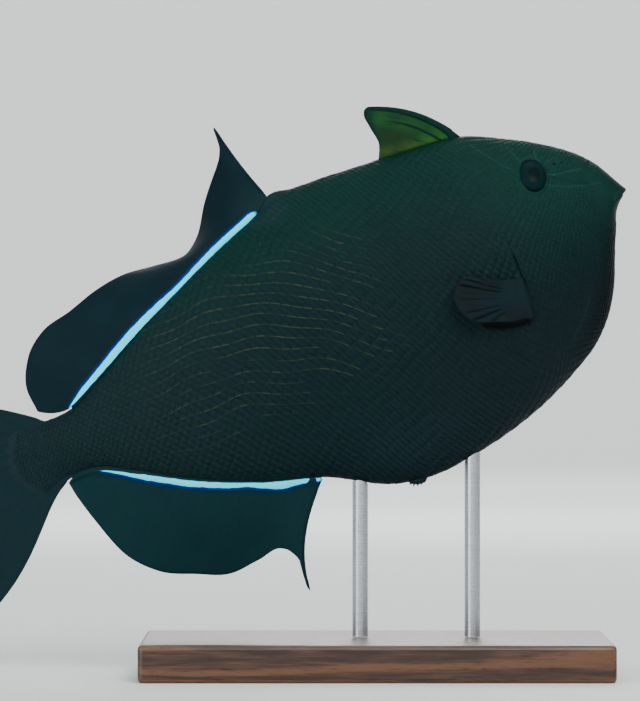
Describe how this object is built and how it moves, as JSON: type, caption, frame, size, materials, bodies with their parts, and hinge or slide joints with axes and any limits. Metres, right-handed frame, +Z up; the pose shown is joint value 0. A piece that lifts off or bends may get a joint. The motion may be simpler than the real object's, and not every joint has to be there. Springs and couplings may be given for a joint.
{
  "type": "blackfin triggerfish model",
  "caption": "Life-size display model of a dark reef triggerfish swimming head up, with spread fins, held over a flat base by short rods.",
  "frame": {"origin": "centre of the underside of the stand's base", "axes": "+X towards the fish's head, +Z up, the fish's right side towards -Y"},
  "size_m": [0.2355, 0.09, 0.1826],
  "materials": {
    "skin": "satin, scaly",
    "fin": "satin, ribbed by its rays",
    "spiny_fin": "satin",
    "eye": "clear gloss",
    "base": "satin varnish",
    "rod": "brushed"
  },
  "bodies": {
    "root": {"head": "skin", "torso": "skin", "tail_stalk": "skin", "eye_right": "eye", "eye_left": "eye", "first_dorsal_fin": "spiny_fin", "soft_dorsal_fin": "fin", "anal_fin": "fin", "caudal_fin": "fin", "pectoral_fin_right": "fin", "pectoral_fin_left": "fin", "pelvic_spine": "skin", "stand_base": "base", "stand_rod_front": "rod", "stand_rod_rear": "rod"}
  },
  "joints": []
}
